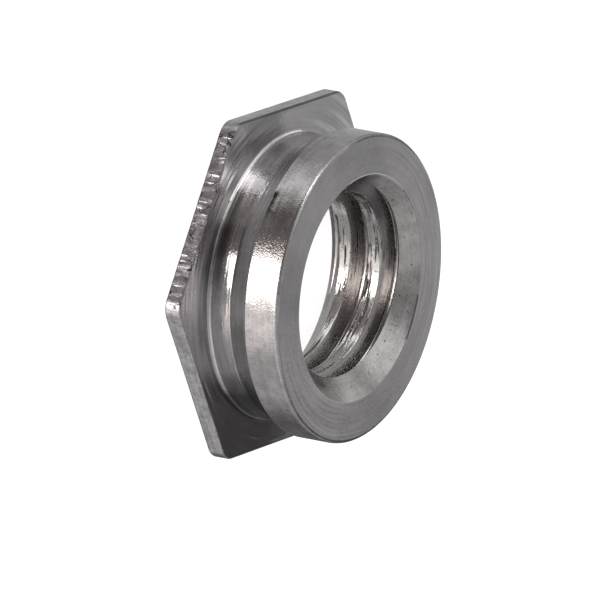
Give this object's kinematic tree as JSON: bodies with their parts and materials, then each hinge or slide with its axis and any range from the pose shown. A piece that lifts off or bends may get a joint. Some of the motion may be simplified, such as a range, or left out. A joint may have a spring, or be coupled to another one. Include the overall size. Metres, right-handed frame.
{
  "type": "self clinching nut",
  "caption": "Flush self-clinching nut: thin hexagonal flange, undercut round barrel and threaded through hole with countersunk mouths.",
  "frame": {"origin": "centre of the flange's outer face, on the bore axis", "axes": "+Z along the bore axis, from the flange's outer face towards the barrel's front face; two corners of the hexagon lie on the X axis"},
  "size_m": [0.0054, 0.0048, 0.0015],
  "materials": {
    "stainless_steel": "turned bare stainless steel, satin with fine tool marks"
  },
  "bodies": {
    "root": {"clinch_nut": "stainless_steel"}
  },
  "joints": []
}
